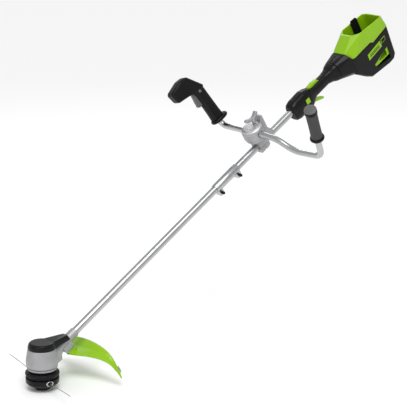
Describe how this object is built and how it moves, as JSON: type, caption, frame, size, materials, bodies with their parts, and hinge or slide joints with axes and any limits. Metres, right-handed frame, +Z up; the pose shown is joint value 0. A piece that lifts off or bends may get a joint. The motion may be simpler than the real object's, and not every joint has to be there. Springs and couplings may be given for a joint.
{
  "type": "brush cutter",
  "caption": "Battery brush cutter: line head with hub motor and guard, two-piece shaft, swivelling bull handlebar, rear trigger handle and open battery bay.",
  "frame": {"origin": "centre of the bump knob's flat foot, on the line head's spin axis", "axes": "+Z up along the spin axis, the shaft in the XZ plane rising 31 degrees towards +X, where the operator stands; +Y is the operator's right"},
  "size_m": [1.634, 0.6249, 1.0493],
  "materials": {
    "black_plastic": "fine-textured moulded nylon",
    "green_plastic": "semi-gloss moulded plastic",
    "cast_metal": "bead-blasted die casting",
    "shaft_metal": "satin anodised tube",
    "steel": "plain steel",
    "black_steel": "blackened steel",
    "copper": "enamelled winding",
    "nylon_line": "extruded nylon",
    "grip_rubber": "soft moulded rubber",
    "cable_rubber": "rubber jacket",
    "grey_plastic": "smooth moulded plastic",
    "circuit_board": "solder mask"
  },
  "bodies": {
    "frame": {"head_top_cover": "black_plastic", "handle_left_shell": "black_plastic", "handle_right_shell": "black_plastic", "trigger_switch": "black_plastic", "housing_left_shell": "black_plastic", "housing_right_shell": "black_plastic", "bay_rail": "black_plastic", "terminal_block": "black_plastic", "guard": "green_plastic", "battery_bay": "green_plastic", "side_plate": "green_plastic", "motor_housing": "cast_metal", "guard_bracket": "cast_metal", "lower_collar": "cast_metal", "clamp_lower": "cast_metal", "clamp_base": "cast_metal", "lower_tube": "shaft_metal", "upper_tube": "shaft_metal", "coupler_sleeve": "shaft_metal", "bearing_lower": "steel", "bearing_upper": "steel", "line_cutter": "steel", "guard_screw_left": "steel", "guard_screw_right": "steel", "clamp_bolt_left": "steel", "clamp_bolt_right": "steel", "trigger_pin": "steel", "coupler_bolt_front": "black_steel", "coupler_bolt_rear": "black_steel", "stator": "copper", "power_cable": "cable_rubber", "controller_board": "circuit_board"},
    "line_head": {"spindle": "steel", "rotor_bell": "steel", "spool_cover": "black_plastic", "spool_body": "black_plastic", "eyelet_near": "steel", "eyelet_far": "steel", "spool_spring": "steel", "line_near": "nylon_line", "line_far": "nylon_line"},
    "bump_feed": {"bump_knob": "black_plastic", "inner_spool": "black_plastic", "wound_line": "nylon_line"},
    "handlebar": {"clamp_turret": "cast_metal", "turret_cap": "cast_metal", "handlebar_tube": "shaft_metal", "left_grip_flange": "black_plastic", "left_grip_rubber": "grip_rubber", "left_grip_collar": "black_plastic", "left_grip_cap": "grey_plastic", "pistol_left_shell": "black_plastic", "pistol_right_shell": "black_plastic", "pistol_flange": "black_plastic"},
    "wing_knob": {"wing_knob": "cast_metal"},
    "pistol_trigger": {"pistol_trigger": "grey_plastic"},
    "pistol_button": {"pistol_button": "grey_plastic"},
    "lockoff_lever": {"lockoff_lever": "green_plastic"},
    "handle_trigger": {"handle_trigger": "green_plastic"},
    "speed_switch": {"speed_switch": "green_plastic"}
  },
  "joints": [
    {"name": "head_spin", "type": "hinge", "parent": "frame", "child": "line_head", "pos_m": [0, 0, 0.04], "axis": [0, 0, 1], "continuous": true},
    {"name": "bump_feed_slide", "type": "slide", "parent": "line_head", "child": "bump_feed", "axis": [0, 0, 1], "range_m": [0, 0.006], "stiffness_N_per_m": 1500, "springref_m": -0.004, "deforming": ["spool_spring"]},
    {"name": "handlebar_swivel", "type": "hinge", "parent": "frame", "child": "handlebar", "pos_m": [0.9404, 0, 0.69978], "axis": [-0.5189, 0, 0.8548], "range_deg": [-60, 0]},
    {"name": "wing_knob_turn", "type": "hinge", "parent": "frame", "child": "wing_knob", "pos_m": [0.91238, 0, 0.74594], "axis": [-0.5189, 0, 0.8548], "range_deg": [0, 180]},
    {"name": "pistol_trigger_pull", "type": "hinge", "parent": "handlebar", "child": "pistol_trigger", "pos_m": [0.8108, 0.20203, 0.83039], "axis": [0.1474, 0.9588, -0.2428], "range_deg": [-10, 0], "stiffness_Nm_per_rad": 0.6, "springref_deg": 8.59},
    {"name": "pistol_button_press", "type": "slide", "parent": "handlebar", "child": "pistol_button", "axis": [0.1474, 0.9588, -0.2428], "range_m": [0, 0.004], "stiffness_N_per_m": 300, "springref_m": -0.003},
    {"name": "lockoff_press", "type": "hinge", "parent": "frame", "child": "lockoff_lever", "pos_m": [1.21751, 0, 0.83875], "axis": [0, 1, 0], "range_deg": [-5, 0], "stiffness_Nm_per_rad": 0.5, "springref_deg": 8.59},
    {"name": "trigger_pull", "type": "hinge", "parent": "frame", "child": "handle_trigger", "pos_m": [1.19189, 0, 0.7846], "axis": [0, 1, 0], "range_deg": [-14, 0], "stiffness_Nm_per_rad": 0.6, "springref_deg": 8.59},
    {"name": "speed_select", "type": "slide", "parent": "frame", "child": "speed_switch", "axis": [0.8548, 0, 0.5189], "range_m": [0, 0.008]}
  ]
}
